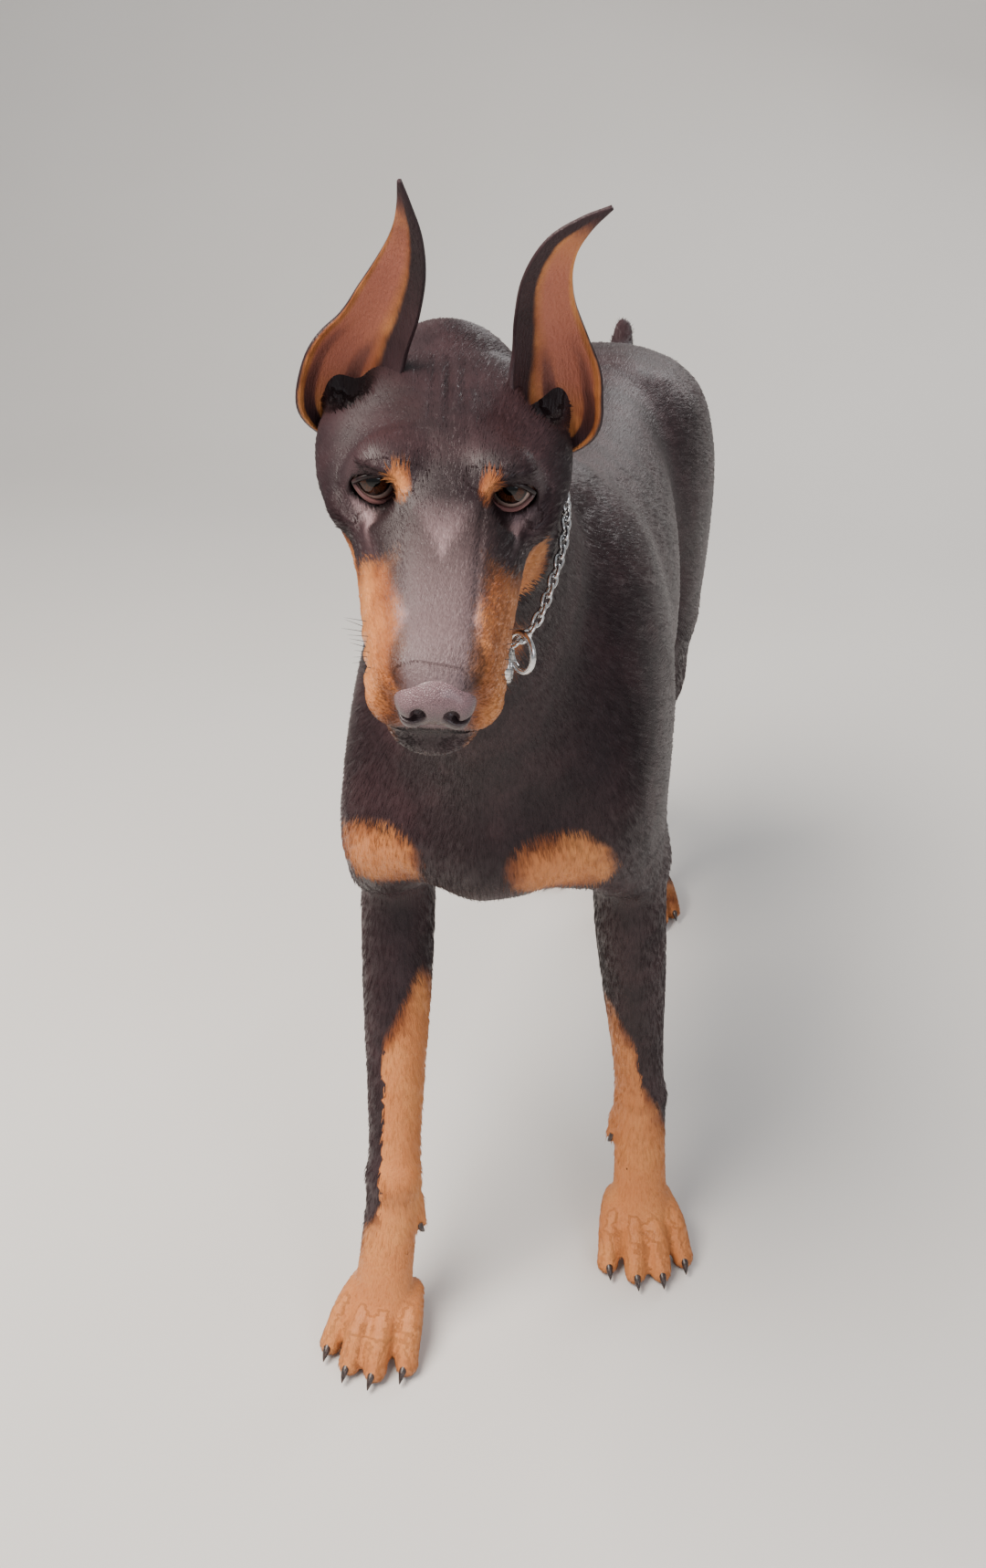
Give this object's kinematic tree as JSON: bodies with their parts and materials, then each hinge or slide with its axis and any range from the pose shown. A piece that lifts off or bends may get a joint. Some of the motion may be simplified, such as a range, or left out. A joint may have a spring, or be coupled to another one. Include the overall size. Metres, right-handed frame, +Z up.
{
  "type": "doberman pinscher",
  "caption": "Life-size standing doberman pinscher with cropped ears, docked tail and a chain collar, head lowered towards the viewer.",
  "frame": {"origin": "middle of the bounding box, on the floor under the dog", "axes": "+Z up, -Y the way the dog faces, +X its left side"},
  "size_m": [0.2794, 0.9982, 0.8724],
  "materials": {
    "coat_dark": "short, flat, glossy hair, dark chocolate brown",
    "coat_rust": "short, flat hair, rust",
    "nose_leather": "damp, fine pebbled skin",
    "eye": "wet, dark brown",
    "collar_steel": "polished steel links"
  },
  "bodies": {
    "root": {"torso": "coat_dark", "neck": "coat_dark", "tail": "coat_dark", "head": "coat_dark", "nose": "nose_leather", "ear_left": "coat_dark", "ear_right": "coat_dark", "eye_left": "eye", "eye_right": "eye", "fore_leg_left": "coat_dark", "fore_leg_right": "coat_dark", "fore_paw_left": "coat_rust", "fore_paw_right": "coat_rust", "hind_thigh_left": "coat_dark", "hind_thigh_right": "coat_dark", "hind_shank_left": "coat_dark", "hind_shank_right": "coat_dark", "hind_paw_left": "coat_rust", "hind_paw_right": "coat_rust", "collar_chain": "collar_steel", "collar_ring": "collar_steel"}
  },
  "joints": []
}
